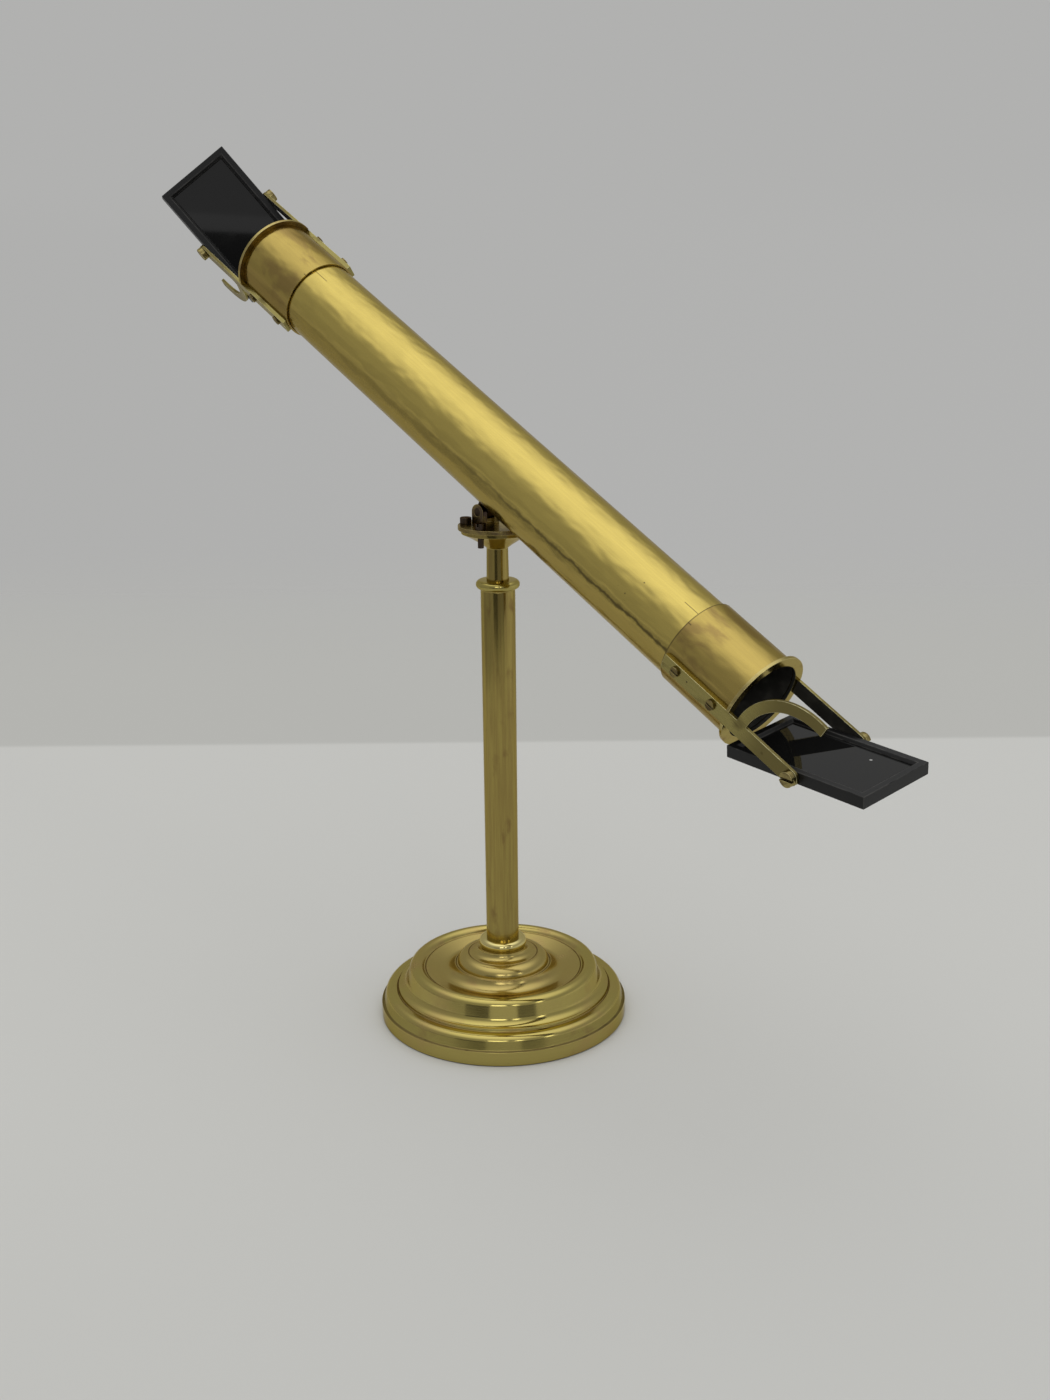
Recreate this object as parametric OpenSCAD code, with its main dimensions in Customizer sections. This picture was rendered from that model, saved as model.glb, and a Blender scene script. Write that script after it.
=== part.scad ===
// Reflecting polariscope on a pillar stand, in millimetres, +Z up.
// The origin is the centre of the foot's flat underside.
// The tube lies in the XZ plane and slopes down towards +X. The tilt pin lies along Y.
// Each end has a turning collar, two arms and a black glass mirror that swings between them.

/* [Foot] */
// Diameter of the foot
foot_d = 127; // [120:0.5:150]
// Height of the plain band round the foot
foot_band_h = 7.5; // [5:0.1:10]
// Width of the step between the band and the shoulder
foot_band_step = 1.2; // [0.8:0.1:1.6]
// Lean of the shoulder's and the crest's walls from the upright, in degrees
foot_lean = 14; // [5:0.5:20]
// Height of the shoulder's wall
shoulder_wall_h = 3.9; // [2.5:0.1:5]
// Radius of the shoulder's rounded edge
shoulder_r = 3.5; // [2.5:0.1:4.5]
// Height of the rise between the shoulder and the hollow
foot_ledge_h = 1.3; // [0.8:0.1:2]
// Radius of the hollow that climbs from the shoulder to the crest
foot_cove_r = 5; // [4:0.1:6]
// Diameter of the crest's wall at half its height
crest_d = 98.6; // [94:0.1:100]
// Height of the crest's wall
crest_wall_h = 4.9; // [3:0.1:6]
// Radius of the rounded crest
crest_round_r = 4; // [3:0.1:5]
// Depth of the rim of the dish below the top of the crest
dish_depth = 2.3; // [1.4:0.1:3]
// Height of the boss's lower edge above the rim of the dish
boss_rise = 2; // [1:0.1:3]
// Radius of the hollow round the boss, down to the floor of the dish
boss_hollow_r = 6; // [5:0.1:7]
// Diameter of the raised boss at the middle of the foot
boss_d = 47.2; // [42:0.1:52]
// Height of the boss's rounded edge
boss_edge_h = 5.4; // [4.4:0.1:6.4]
// Height of the hollow that runs up to the top of the boss
boss_cove_h = 3.4; // [2.6:0.1:4.4]
// Depth of the turned lines
line_depth = 0.4; // [0.2:0.1:0.6]

/* [Column] */
// Diameter of the ring at the bottom of the column
ring_d = 24.4; // [21:0.1:28]
// Height of the ring
ring_h = 5.2; // [4:0.1:8]
// Diameter of the column at its bottom
column_low_d = 16.6; // [14:0.1:19]
// Diameter of the column at its top
column_high_d = 17; // [13:0.1:18]
// Length of the column between the ring and the bead
column_len = 184.1; // [120:0.1:260]
// Diameter of the bead on top of the column
bead_d = 21.6; // [19.6:0.1:24]
// Height of the bead
bead_h = 4.4; // [3.4:0.1:8]
// Width of the flat left round the neck on top of the bead
bead_land = 0.6; // [0.3:0.1:1.2]
// Diameter of the column's threaded tail in the foot
tail_d = 10; // [7:0.1:12]
// Length of the tail inside the foot
tail_len = 18; // [10:0.5:22]

/* [Head] */
// Diameter of the neck where it stands on the bead
neck_low_d = 11; // [9.6:0.1:13]
// Diameter of the neck below the flare
neck_high_d = 10.5; // [9:0.1:12.5]
// Length of the neck
neck_len = 15.8; // [8:0.1:30]
// Diameter of the neck's threaded tail in the column
neck_tail_d = 8; // [5:0.1:9]
// Length of the neck's tail inside the column
neck_tail_len = 12; // [6:0.5:24]
// Diameter of the flare at its lip
lip_d = 35; // [33:0.1:40]
// Thickness of the lip
lip_t = 1.8; // [1.2:0.1:3]
// Height of the flare below the lip
flare_h = 7.4; // [5:0.1:12]
// Roundness of the flare: 1 is a cone and 2 is a quarter ellipse
flare_power = 1.1; // [1:0.1:2]

/* [Tilt joint] */
// Slope of the tube below the horizontal, as it lies on its stop
tilt_angle = 28.5; // [15:0.5:32]
// How far the joint plate stands out past the lip
plate_overhang = 1.5; // [0:0.1:3]
// Thickness of the joint plate
plate_t = 2.1; // [1.5:0.1:4]
// How far the tilt pin lies behind the column
pin_set_back = 8; // [6:0.1:9]
// Diameter of the tilt pin
pin_d = 4; // [3:0.1:5]
// Radius of the rounded cheeks and tongue round the pin
knuckle_r = 3.9; // [3.5:0.1:4.5]
// Height of the pin above the joint plate
pin_rise = 5.6; // [5:0.1:8]
// Thickness of each cheek
cheek_t = 3; // [2:0.1:3.2]
// Thickness of the tongue between the cheeks
tongue_t = 4.8; // [3:0.1:5]
// Thickness of the saddle under the tube
saddle_t = 1.6; // [1:0.1:3]
// Length of the saddle along the tube
saddle_len = 20; // [14:0.5:22]
// Width of the saddle
saddle_w = 10; // [7:0.1:10.5]
// Gap between the cheeks and the saddle above them
knuckle_gap = 0.6; // [0.4:0.1:2]
// Diameter of the plate screws
plate_screw_d = 2.9; // [2:0.1:3.2]
// Diameter of the plate screws' heads
plate_head_d = 5.6; // [4.5:0.1:5.8]
// Height of the plate screws' heads
plate_head_h = 3; // [1.5:0.1:3.2]
// How far the side plate screws reach below the top of the joint plate
side_screw_len = 8.9; // [5:0.1:14]
// How far the rear plate screws reach below the top of the joint plate
rear_screw_len = 4.4; // [3:0.1:8]
// Metal left between the plate screws and the edge of the lip
plate_screw_edge = 0.45; // [0.3:0.05:0.8]
// Angle of the rear plate screws from the rear
rear_screw_angle = 32; // [31:0.5:36]
// Angle of the side plate screws from the front
side_screw_angle = 74; // [66:0.5:84]

/* [Tube] */
// Outside diameter of the tube
tube_d = 40.2; // [38:0.1:43]
// Wall of the tube
tube_wall = 1; // [0.8:0.1:1.6]
// Length of the tube
tube_len = 368.7; // [240:0.1:420]
// How far the middle of the tube lies above the tilt pin, along the tube
tube_shift = 7.5; // [0:0.1:20]

/* [Collars] */
// Wall of the collar sleeves
sleeve_wall = 1.09; // [0.9:0.01:1.8]
// Length of a collar with its flange
collar_len = 41.4; // [32:0.1:60]
// How far the flange stands out from the sleeve
flange_rise = 2.45; // [2:0.05:5]
// Thickness of the flange
flange_t = 1.6; // [1:0.1:3]
// How much larger the flange's bore is than the tube's, all round
flange_relief = 0.1; // [0:0.05:0.5]
// Roll of the upper collar about the tube
upper_roll = 223.5; // [0:0.5:360]
// Roll of the lower collar about the tube
lower_roll = 8; // [0:0.5:360]

/* [Arms] */
// Width of the arms
arm_w = 7.4; // [6:0.1:9]
// Thickness of the arms
arm_t = 1.6; // [1.2:0.1:3]
// How much thicker the arms are over the sleeve, where they are hollowed to fit it
arm_seat = 0.25; // [0.2:0.05:1]
// Bare sleeve between its inner edge and the arms' ends
arm_end_gap = 1.5; // [0.5:0.1:4]
// Distance of the arm screws from each end of the collar
arm_screw_edge = 9.5; // [7:0.1:12]
// Diameter of the arm screws
arm_screw_d = 2.4; // [1.6:0.1:3]
// Diameter of the arm screws' heads
arm_head_d = 4.8; // [3.6:0.1:5.6]
// Height of the arm screws' heads
arm_head_h = 1.2; // [0.8:0.1:2]
// Width of the arc on each arc arm
arc_w = 5.3; // [3:0.1:8]
// Distance from the flange to the outside of the arc, along the arm
arc_root = 4.7; // [2:0.1:9]
// Sweep of the arc from the line of its arm
arc_sweep = 99; // [40:1:130]

/* [Mirrors] */
// Length of the mirror frames
frame_len = 72; // [60:0.1:90]
// Thickness of the mirror frames
frame_t = 5.6; // [4.6:0.1:8]
// Width of the frames' rails
rail_w = 4.4; // [3.6:0.1:7]
// Thickness of the glass
glass_t = 2; // [1:0.1:2.4]
// Depth of the glass below the front of the rails
glass_sunk = 1.6; // [0.4:0.1:1.8]
// Diameter of the pivot screws
pivot_d = 3; // [2:0.1:3.4]
// Diameter of the pivot screws' heads
pivot_head_d = 7; // [5:0.1:9]
// Height of the pivot screws' heads
pivot_head_h = 2.6; // [1.5:0.1:4]
// How deep the pivot screws reach into the rails
pivot_depth = 3.4; // [2:0.1:3.5]
// Clearance between a swinging frame and the flange
swing_gap = 2; // [1:0.1:6]
// Swing of the upper mirror from the tube's line, towards the arc
upper_swing = 144.5; // [0:0.5:180]
// Swing of the lower mirror from the tube's line, towards the arc
lower_swing = 25; // [0:0.5:180]

/* [Clearances] */
// Gap round parts that are screwed or let in
fit_gap = 0.05; // [0.02:0.01:0.1]
// Gap round parts that turn
run_gap = 0.06; // [0.02:0.01:0.09]
// Gap between flat faces that slide past each other
slide_gap = 0.1; // [0.05:0.01:0.3]
// Gap between each side of a mirror frame and its arm
side_gap = 0.3; // [0.2:0.05:1]
// Gap between the tube's ends and the flanges, and between the tube and its stop
rest_gap = 0.35; // [0.2:0.05:1]

/* [Hidden] */
$fn = 96;

brass = [0.72, 0.58, 0.25];
pale_brass = [0.80, 0.69, 0.36];
dark_steel = [0.22, 0.20, 0.18];
black_lacquer = [0.07, 0.07, 0.07];
black_glass = [0.12, 0.13, 0.13];

// Steps along each turned curve
arc_steps = 12;
// How far short of level a turned curve stops, in degrees
run_out = 2;
// How far round the ring and the bead are rounded, in degrees
ring_turn = 60;
bead_turn = 80;
// How far a cut runs past the face that it opens
over = 1;
// Width and depth of a screw's slot, as shares of its head
slot_share = 0.18;
slot_depth_share = 0.45;

// Foot levels and radii
foot_r = foot_d / 2;
shoulder_z = foot_band_h + foot_band_step / 2;
shoulder_wall_r = foot_r - foot_band_step;
shoulder_edge = [
    shoulder_wall_r - shoulder_wall_h * tan(foot_lean) - shoulder_r * cos(foot_lean),
    shoulder_z + shoulder_wall_h - shoulder_r * sin(foot_lean)
];
shoulder_top_z = shoulder_edge[1] + shoulder_r;
cove_z = shoulder_top_z + foot_ledge_h + foot_cove_r;
wall_half_w = crest_wall_h * tan(foot_lean) / 2;
cove_centre = [crest_d / 2 + wall_half_w + foot_cove_r * cos(foot_lean), cove_z];
shoulder_line_r = cove_centre[0] + 1.2 * line_depth;
crest_centre = [
    crest_d / 2 - wall_half_w - crest_round_r * cos(foot_lean),
    cove_z + crest_wall_h - (foot_cove_r + crest_round_r) * sin(foot_lean)
];
dish_z = crest_centre[1] + crest_round_r - dish_depth;
dish_angle = asin((crest_round_r - dish_depth) / crest_round_r);
dish_r = crest_centre[0] - crest_round_r * cos(dish_angle) - 2 * line_depth;
boss_r = boss_d / 2;
boss_z = dish_z + boss_rise;
hollow_centre = [
    boss_r + 4 * line_depth + boss_hollow_r * cos(foot_lean),
    boss_z + boss_hollow_r * sin(foot_lean)
];
dish_run = [dish_r - line_depth, dish_z] - hollow_centre;
hollow_start = 360 + atan2(dish_run[1], dish_run[0]) - acos(boss_hollow_r / norm(dish_run));
boss_edge_z = boss_z + boss_edge_h;
boss_neck_r = boss_r - boss_edge_h;
foot_h = boss_edge_z + boss_cove_h;

// Column levels
ring_r = ring_d / 2;
column_z = foot_h + ring_h;
bead_z = column_z + column_len;
bead_r = bead_d / 2;
neck_z = bead_z + bead_h;
flare_z = neck_z + neck_len;
lip_r = lip_d / 2;
lip_z = flare_z + flare_h;
plate_z = lip_z + lip_t;
plate_top_z = plate_z + plate_t;

// Joint
plate_r = lip_r + plate_overhang;
plate_screw_r = lip_r - plate_screw_d / 2 - plate_screw_edge;
plate_screw_angles = [
    180 - rear_screw_angle, 180 + rear_screw_angle, side_screw_angle, -side_screw_angle
];
pin_z = plate_top_z + pin_rise;
pin_len = tongue_t + 2 * slide_gap + 2 * cheek_t;
tube_r = tube_d / 2;
pin_drop = tube_r + saddle_t + knuckle_gap + knuckle_r;

// Collars, arms and mirrors
sleeve_bore_r = tube_r + run_gap;
sleeve_r = sleeve_bore_r + sleeve_wall;
flange_bore_r = tube_r - tube_wall + flange_relief;
flange_r = sleeve_r + flange_rise;
end_x = tube_len / 2 + rest_gap + flange_t;
arm_in = sleeve_r + arm_seat;
arm_out = arm_in + arm_t;
arm_screw_x = [-arm_screw_edge, arm_screw_edge - collar_len];
pivot_x = frame_len / 2 + swing_gap;
arc_out_r = pivot_x - arc_root;
frame_half_w = arm_in - side_gap;
pocket_depth = glass_sunk + glass_t;

// Points along an arc, from one angle to another
function arc_points(centre, r, from, to) = [
    for (i = [0 : arc_steps])
        let (angle = from + (to - from) * i / arc_steps)
            centre + r * [cos(angle), sin(angle)]
];

// A turned line: a small V cut into a level surface, read inwards
function turned_line(r, z) = [[r + line_depth, z], [r, z - line_depth], [r - line_depth, z]];

// Places its children on the tube: X runs down the tube and the origin is the tube's middle
module at_tube() {
    translate([-pin_set_back, 0, pin_z])
        rotate([0, tilt_angle, 0])
            translate([-tube_shift, 0, pin_drop])
                children();
}

// Places its children at an end: X points out of the tube, the arc arm is at -Y and its arc towards +Z
module at_end(end) {
    at_tube()
        rotate([end == "upper" ? upper_roll : lower_roll, 0, 0])
            rotate([0, 0, end == "upper" ? 180 : 0])
                translate([end_x, 0, 0])
                    children();
}

// Places its children on a mirror: the pivot lies along Y and the glass faces +Z
module at_mirror(end) {
    at_end(end)
        translate([pivot_x, 0, 0])
            rotate([0, end == "upper" ? -upper_swing : -lower_swing, 0])
                children();
}

// A round bar along X from one place to another
module bar_x(r, from, to) {
    translate([from, 0, 0])
        rotate([0, 90, 0])
            cylinder(r = r, h = to - from);
}

// A round bar along Y from one place to another
module bar_y(r, from, to) {
    translate([0, from, 0])
        rotate([-90, 0, 0])
            cylinder(r = r, h = to - from);
}

// A slotted screw, head up, with the underside of its head at the origin
module slotted_screw(d, len, head_d, head_h) {
    difference() {
        union() {
            cylinder(d = head_d, h = head_h);
            translate([0, 0, -len])
                cylinder(d = d, h = len + head_h / 2);
        }
        translate([-head_d, -head_d * slot_share / 2, head_h * (1 - slot_depth_share)])
            cube([2 * head_d, head_d * slot_share, head_h]);
    }
}

module foot() {
    outline = concat(
        [[0, 0], [foot_r, 0], [foot_r, foot_band_h], [shoulder_wall_r, shoulder_z]],
        arc_points(shoulder_edge, shoulder_r, foot_lean, 90),
        turned_line(shoulder_line_r, shoulder_top_z),
        arc_points(cove_centre, foot_cove_r, 270 - run_out, 180 + foot_lean),
        arc_points(crest_centre, crest_round_r, foot_lean, 180 - dish_angle),
        turned_line(dish_r, dish_z),
        arc_points(hollow_centre, boss_hollow_r, hollow_start, 180 + foot_lean),
        turned_line(boss_r + 2 * line_depth, boss_z),
        arc_points([boss_neck_r, boss_z], boss_edge_h, 0, 90 - run_out),
        turned_line(boss_neck_r - line_depth, boss_edge_z),
        arc_points([ring_r + boss_cove_h, foot_h], boss_cove_h, 270 - run_out, 180),
        [[0, foot_h]]
    );
    color(brass)
        difference() {
            rotate_extrude()
                polygon(outline);
            translate([0, 0, foot_h - tail_len - fit_gap])
                cylinder(d = tail_d + 2 * fit_gap, h = tail_len + over);
        }
}

module column_ring() {
    round_r = ring_h / 2;
    bore_r = tail_d / 2 + fit_gap;
    outline = concat(
        [[bore_r, foot_h], [ring_r - round_r * (1 - cos(ring_turn)), foot_h]],
        arc_points([ring_r - round_r, foot_h + round_r], round_r, -ring_turn, 90),
        [[bore_r, column_z]]
    );
    color(pale_brass)
        rotate_extrude()
            polygon(outline);
}

module column() {
    color(brass)
        difference() {
            union() {
                translate([0, 0, column_z])
                    cylinder(d1 = column_low_d, d2 = column_high_d, h = column_len);
                translate([0, 0, foot_h - tail_len])
                    cylinder(d = tail_d, h = tail_len + ring_h + over);
            }
            translate([0, 0, bead_z - neck_tail_len - fit_gap])
                cylinder(d = neck_tail_d + 2 * fit_gap, h = neck_tail_len + over);
        }
}

module column_bead() {
    round_r = bead_h / 2;
    bore_r = neck_tail_d / 2 + fit_gap;
    outline = concat(
        [[bore_r, bead_z], [bead_r - round_r, bead_z]],
        arc_points([bead_r - round_r, bead_z + round_r], round_r, -bead_turn, bead_turn),
        [[neck_low_d / 2 + bead_land, neck_z], [bore_r, neck_z]]
    );
    color(brass)
        rotate_extrude()
            polygon(outline);
}

module head() {
    neck_r = neck_high_d / 2;
    flare_w = lip_r - neck_r;
    flare = [
        for (i = [0 : arc_steps])
            let (share = i / arc_steps, drop = pow(1 - pow(1 - share, flare_power), 1 / flare_power))
                [neck_r + share * flare_w, flare_z + drop * flare_h]
    ];
    outline = concat(
        [[0, neck_z - neck_tail_len - bead_h], [neck_tail_d / 2, neck_z - neck_tail_len - bead_h]],
        [[neck_tail_d / 2, neck_z], [neck_low_d / 2, neck_z]],
        flare,
        [[lip_r, plate_z], [0, plate_z]]
    );
    color(brass)
        difference() {
            rotate_extrude()
                polygon(outline);
            for (angle = plate_screw_angles)
                rotate([0, 0, angle])
                    translate([plate_screw_r, 0, neck_z])
                        cylinder(d = plate_screw_d + 2 * fit_gap, h = plate_z);
        }
}

// One cheek of the hinge, standing on the joint plate, from one place along Y
module cheek(from) {
    translate([-pin_set_back, 0, pin_z]) {
        bar_y(knuckle_r, from, from + cheek_t);
        translate([-knuckle_r, from, -pin_rise - plate_t / 2])
            cube([2 * knuckle_r, cheek_t, pin_rise + plate_t / 2]);
    }
}

module joint_plate() {
    inner = tongue_t / 2 + slide_gap;
    color(brass)
        difference() {
            union() {
                translate([0, 0, plate_z])
                    cylinder(r = plate_r, h = plate_t);
                cheek(inner);
                cheek(-inner - cheek_t);
            }
            translate([-pin_set_back, 0, pin_z])
                bar_y(pin_d / 2 + fit_gap, -plate_r, plate_r);
            for (angle = plate_screw_angles)
                rotate([0, 0, angle])
                    translate([plate_screw_r, 0, plate_z - over])
                        cylinder(d = plate_screw_d + 2 * fit_gap, h = plate_t + 2 * over);
            at_tube()
                bar_x(tube_r + rest_gap, -tube_len / 2, tube_len / 2);
        }
}

module plate_screws() {
    color(dark_steel)
        for (angle = plate_screw_angles)
            let (screw_len = angle > 90 ? rear_screw_len : side_screw_len)
                rotate([0, 0, angle])
                    translate([plate_screw_r, 0, plate_top_z])
                        slotted_screw(plate_screw_d, screw_len, plate_head_d, plate_head_h);
}

module tilt_pin() {
    color(dark_steel)
        translate([-pin_set_back, 0, pin_z])
            bar_y(pin_d / 2, -pin_len / 2, pin_len / 2);
}

// The leaf that turns on the pin and carries the saddle
module tongue() {
    root = saddle_len / 4;
    color(dark_steel)
        at_tube()
            translate([tube_shift, 0, -pin_drop])
                difference() {
                    union() {
                        bar_y(knuckle_r, -tongue_t / 2, tongue_t / 2);
                        intersection() {
                            translate([-root, -tongue_t / 2, 0])
                                cube([2 * root, tongue_t, knuckle_r + knuckle_gap + saddle_t]);
                            union() {
                                translate([-knuckle_r, -tongue_t / 2, 0])
                                    cube([2 * knuckle_r, tongue_t, pin_drop]);
                                translate([-root, -tongue_t / 2, knuckle_r - knuckle_gap])
                                    cube([2 * root, tongue_t, pin_drop]);
                            }
                        }
                    }
                    bar_y(pin_d / 2 + run_gap, -tongue_t, tongue_t);
                    translate([0, 0, pin_drop])
                        bar_x(tube_r + saddle_t, -saddle_len, saddle_len);
                }
}

// The hollowed plate that joins the tongue to the tube
module saddle() {
    color(brass)
        at_tube()
            translate([tube_shift, 0, 0])
                intersection() {
                    difference() {
                        bar_x(tube_r + saddle_t, -saddle_len / 2, saddle_len / 2);
                        bar_x(tube_r, -saddle_len, saddle_len);
                    }
                    translate([-saddle_len, -saddle_w / 2, -2 * tube_r])
                        cube([2 * saddle_len, saddle_w, 2 * tube_r]);
                }
}

module main_tube() {
    color(brass)
        at_tube()
            difference() {
                bar_x(tube_r, -tube_len / 2, tube_len / 2);
                bar_x(tube_r - tube_wall, -tube_len, tube_len);
            }
}

// Drills the sleeve for both arms' screws
module arm_screw_holes(d) {
    for (x = arm_screw_x)
        translate([x, 0, 0])
            bar_y(d / 2, -2 * arm_out, 2 * arm_out);
}

module sleeve(end) {
    color(brass)
        at_end(end)
            difference() {
                bar_x(sleeve_r, -collar_len, -flange_t);
                bar_x(sleeve_bore_r, -2 * collar_len, collar_len);
                arm_screw_holes(arm_screw_d + 2 * fit_gap);
            }
}

module flange(end) {
    notch_w = arm_w + 2 * fit_gap;
    color(pale_brass)
        at_end(end)
            difference() {
                bar_x(flange_r, -flange_t, 0);
                bar_x(flange_bore_r, -collar_len, collar_len);
                for (side = [-1, 1])
                    translate([-collar_len, side > 0 ? arm_in : -arm_in - flange_r, -notch_w / 2])
                        cube([2 * collar_len, flange_r, notch_w]);
            }
}

// An arm's outline, in the plane of X along the tube and Y across the arm
module arm_outline(arc) {
    translate([-collar_len + arm_end_gap, -arm_w / 2])
        square([collar_len - arm_end_gap + pivot_x, arm_w]);
    translate([pivot_x, 0])
        circle(d = arm_w);
    if (arc)
        translate([pivot_x, 0])
            intersection() {
                difference() {
                    circle(r = arc_out_r);
                    circle(r = arc_out_r - arc_w);
                }
                polygon(concat([[0, 0]], arc_points([0, 0], 2 * arc_out_r, 180 - arc_sweep, 180)));
            }
}

// An arm at -Y: a flat strip whose thicker part is hollowed to sit on the sleeve
module arm(arc) {
    difference() {
        union() {
            translate([0, -arm_in, 0])
                rotate([90, 0, 0])
                    linear_extrude(arm_t)
                        arm_outline(arc);
            translate([-collar_len + arm_end_gap, -arm_in - arm_t / 2, -arm_w / 2])
                cube([collar_len - arm_end_gap - flange_t, arm_t + arm_seat, arm_w]);
        }
        bar_x(sleeve_r, -2 * collar_len, collar_len);
        arm_screw_holes(arm_screw_d + 2 * fit_gap);
        translate([pivot_x, 0, 0])
            bar_y(pivot_d / 2 + run_gap, -2 * arm_out, 0);
    }
}

module arc_arm(end) {
    color(pale_brass)
        at_end(end)
            arm(true);
}

module plain_arm(end) {
    color(pale_brass)
        at_end(end)
            rotate([180, 0, 0])
                arm(false);
}

module arm_screws(end) {
    shank = arm_out - sleeve_bore_r - slide_gap;
    color(dark_steel)
        at_end(end)
            for (turn = [0, 180], x = arm_screw_x)
                rotate([90 + turn, 0, 0])
                    translate([x, 0, arm_out])
                        slotted_screw(arm_screw_d, shank, arm_head_d, arm_head_h);
}

module mirror_frame(end) {
    color(black_lacquer)
        at_mirror(end)
            difference() {
                cube([frame_len, 2 * frame_half_w, frame_t], center = true);
                translate([rail_w - frame_len / 2, rail_w - frame_half_w, frame_t / 2 - pocket_depth])
                    cube([frame_len - 2 * rail_w, 2 * (frame_half_w - rail_w), frame_t]);
                for (side = [-1, 1])
                    scale([1, side, 1])
                        bar_y(pivot_d / 2 + fit_gap, frame_half_w - pivot_depth - fit_gap, arm_out);
            }
}

module mirror_glass(end) {
    glass_len = frame_len - 2 * rail_w - 2 * fit_gap;
    glass_w = 2 * (frame_half_w - rail_w - fit_gap);
    color(black_glass)
        at_mirror(end)
            translate([-glass_len / 2, -glass_w / 2, frame_t / 2 - pocket_depth])
                cube([glass_len, glass_w, glass_t]);
}

module pivot_screws(end) {
    shank = arm_out + slide_gap - frame_half_w + pivot_depth;
    color(pale_brass)
        at_mirror(end)
            for (turn = [0, 180])
                rotate([90 + turn, 0, 0])
                    translate([0, 0, arm_out + slide_gap])
                        slotted_screw(pivot_d, shank, pivot_head_d, pivot_head_h);
}

foot();
column_ring();
column();
column_bead();
head();
joint_plate();
plate_screws();
tilt_pin();
tongue();
saddle();
main_tube();
sleeve("upper");  // upper_sleeve
flange("upper");  // upper_flange
arc_arm("upper");  // upper_arc_arm
plain_arm("upper");  // upper_plain_arm
arm_screws("upper");  // upper_arm_screws
mirror_frame("upper");  // upper_frame
mirror_glass("upper");  // upper_glass
pivot_screws("upper");  // upper_pivot_screws
sleeve("lower");  // lower_sleeve
flange("lower");  // lower_flange
arc_arm("lower");  // lower_arc_arm
plain_arm("lower");  // lower_plain_arm
arm_screws("lower");  // lower_arm_screws
mirror_frame("lower");  // lower_frame
mirror_glass("lower");  // lower_glass
pivot_screws("lower");  // lower_pivot_screws
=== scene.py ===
# %% [markdown]
# # Dressing a polariscope
# A polariscope looks at light that a mirror of black glass has polarised. This one has a brass tube on
# a pillar, a collar that turns at each end of the tube, and a black mirror that swings on each collar.
# The solid model gives every size. This lesson makes the pieces again with bevelled edges and gives them
# the finish of old lacquered brass. Loading comes first, so that each piece can lie where the model has it.

# %% Load the solid model
import math

import bmesh
import bpy
from mathutils import Matrix, Vector


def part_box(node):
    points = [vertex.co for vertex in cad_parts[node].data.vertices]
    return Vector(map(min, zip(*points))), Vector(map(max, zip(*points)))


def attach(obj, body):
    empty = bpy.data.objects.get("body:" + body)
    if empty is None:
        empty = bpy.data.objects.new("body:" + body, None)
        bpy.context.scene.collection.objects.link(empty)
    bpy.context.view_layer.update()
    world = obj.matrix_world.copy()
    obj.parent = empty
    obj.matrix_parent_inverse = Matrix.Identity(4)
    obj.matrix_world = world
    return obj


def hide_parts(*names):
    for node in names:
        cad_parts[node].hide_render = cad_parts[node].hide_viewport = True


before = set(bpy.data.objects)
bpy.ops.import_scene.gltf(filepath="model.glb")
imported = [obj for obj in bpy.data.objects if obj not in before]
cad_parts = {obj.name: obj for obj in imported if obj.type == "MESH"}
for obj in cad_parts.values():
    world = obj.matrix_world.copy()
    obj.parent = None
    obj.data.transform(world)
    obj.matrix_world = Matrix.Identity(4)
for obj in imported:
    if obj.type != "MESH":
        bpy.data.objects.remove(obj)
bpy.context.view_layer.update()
scene = bpy.context.scene

# %% [markdown]
# ## The camera
# The foot shows as an ellipse, and the rims at the two ends of the tube show as two more. Together they
# fix where the camera stood and how long its lens was. Turning the camera first about the upright, then
# down, then a little about its own line of sight keeps each of the three angles readable.

# %% Camera
camera_data = bpy.data.cameras.new("camera")
camera_data.sensor_width = 36
camera_data.lens = 42.82
camera_data.clip_end = 50
camera = bpy.data.objects.new("camera", camera_data)
scene.collection.objects.link(camera)
heading, pitch, lean = (math.radians(angle) for angle in (45.185, 90 - 16.355, -0.544))
turn = Matrix.Rotation(heading, 4, "Z") @ Matrix.Rotation(pitch, 4, "X") @ Matrix.Rotation(lean, 4, "Z")
camera_place = (0.5729, -0.5513, 0.4018)
camera.matrix_world = Matrix.Translation(camera_place) @ turn
scene.camera = camera
scene.view_settings.view_transform = "Standard"
print("camera stands", round(camera.location.xy.length, 3), "m from the middle of the foot")

# %% [markdown]
# ## Small helpers for nodes
# A material is a tree of nodes. A few helpers keep the trees short: they feed a socket with a value or with
# a link, add a node, add a sum with numbers or with vectors, make a smooth step, mix two colours and split
# a vector into its parts.

# %% Node helpers
def feed(tree, socket, value):
    if isinstance(value, bpy.types.NodeSocket):
        tree.links.new(value, socket)
    else:
        socket.default_value = value


def add(tree, kind, settings=None, **inputs):
    made = tree.nodes.new("ShaderNode" + kind)
    for name, value in (settings or {}).items():
        setattr(made, name, value)
    for name, value in inputs.items():
        feed(tree, made.inputs[name.replace("_", " ")], value)
    return made


def maths(tree, operation, *values):
    made = add(tree, "Math", {"operation": operation})
    for socket, value in zip(made.inputs, values):
        feed(tree, socket, value)
    return made.outputs[0]


def times(tree, first, second):
    return maths(tree, "MULTIPLY", first, second)


def vectors(tree, operation, *values):
    made = add(tree, "VectorMath", {"operation": operation})
    for socket, value in zip(made.inputs, values):
        feed(tree, socket, value)
    return made.outputs["Value" if operation in ("DOT_PRODUCT", "DISTANCE", "LENGTH") else "Vector"]


def ease(tree, value, low, high):
    """0 below low, 1 above high, and a smooth change between them. With low above high it falls."""
    made = add(tree, "MapRange", {"interpolation_type": "SMOOTHSTEP"}, Value=value)
    for socket, edge in (("From Min", low), ("From Max", high)):
        feed(tree, made.inputs[socket], edge)
    return made.outputs["Result"]


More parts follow.
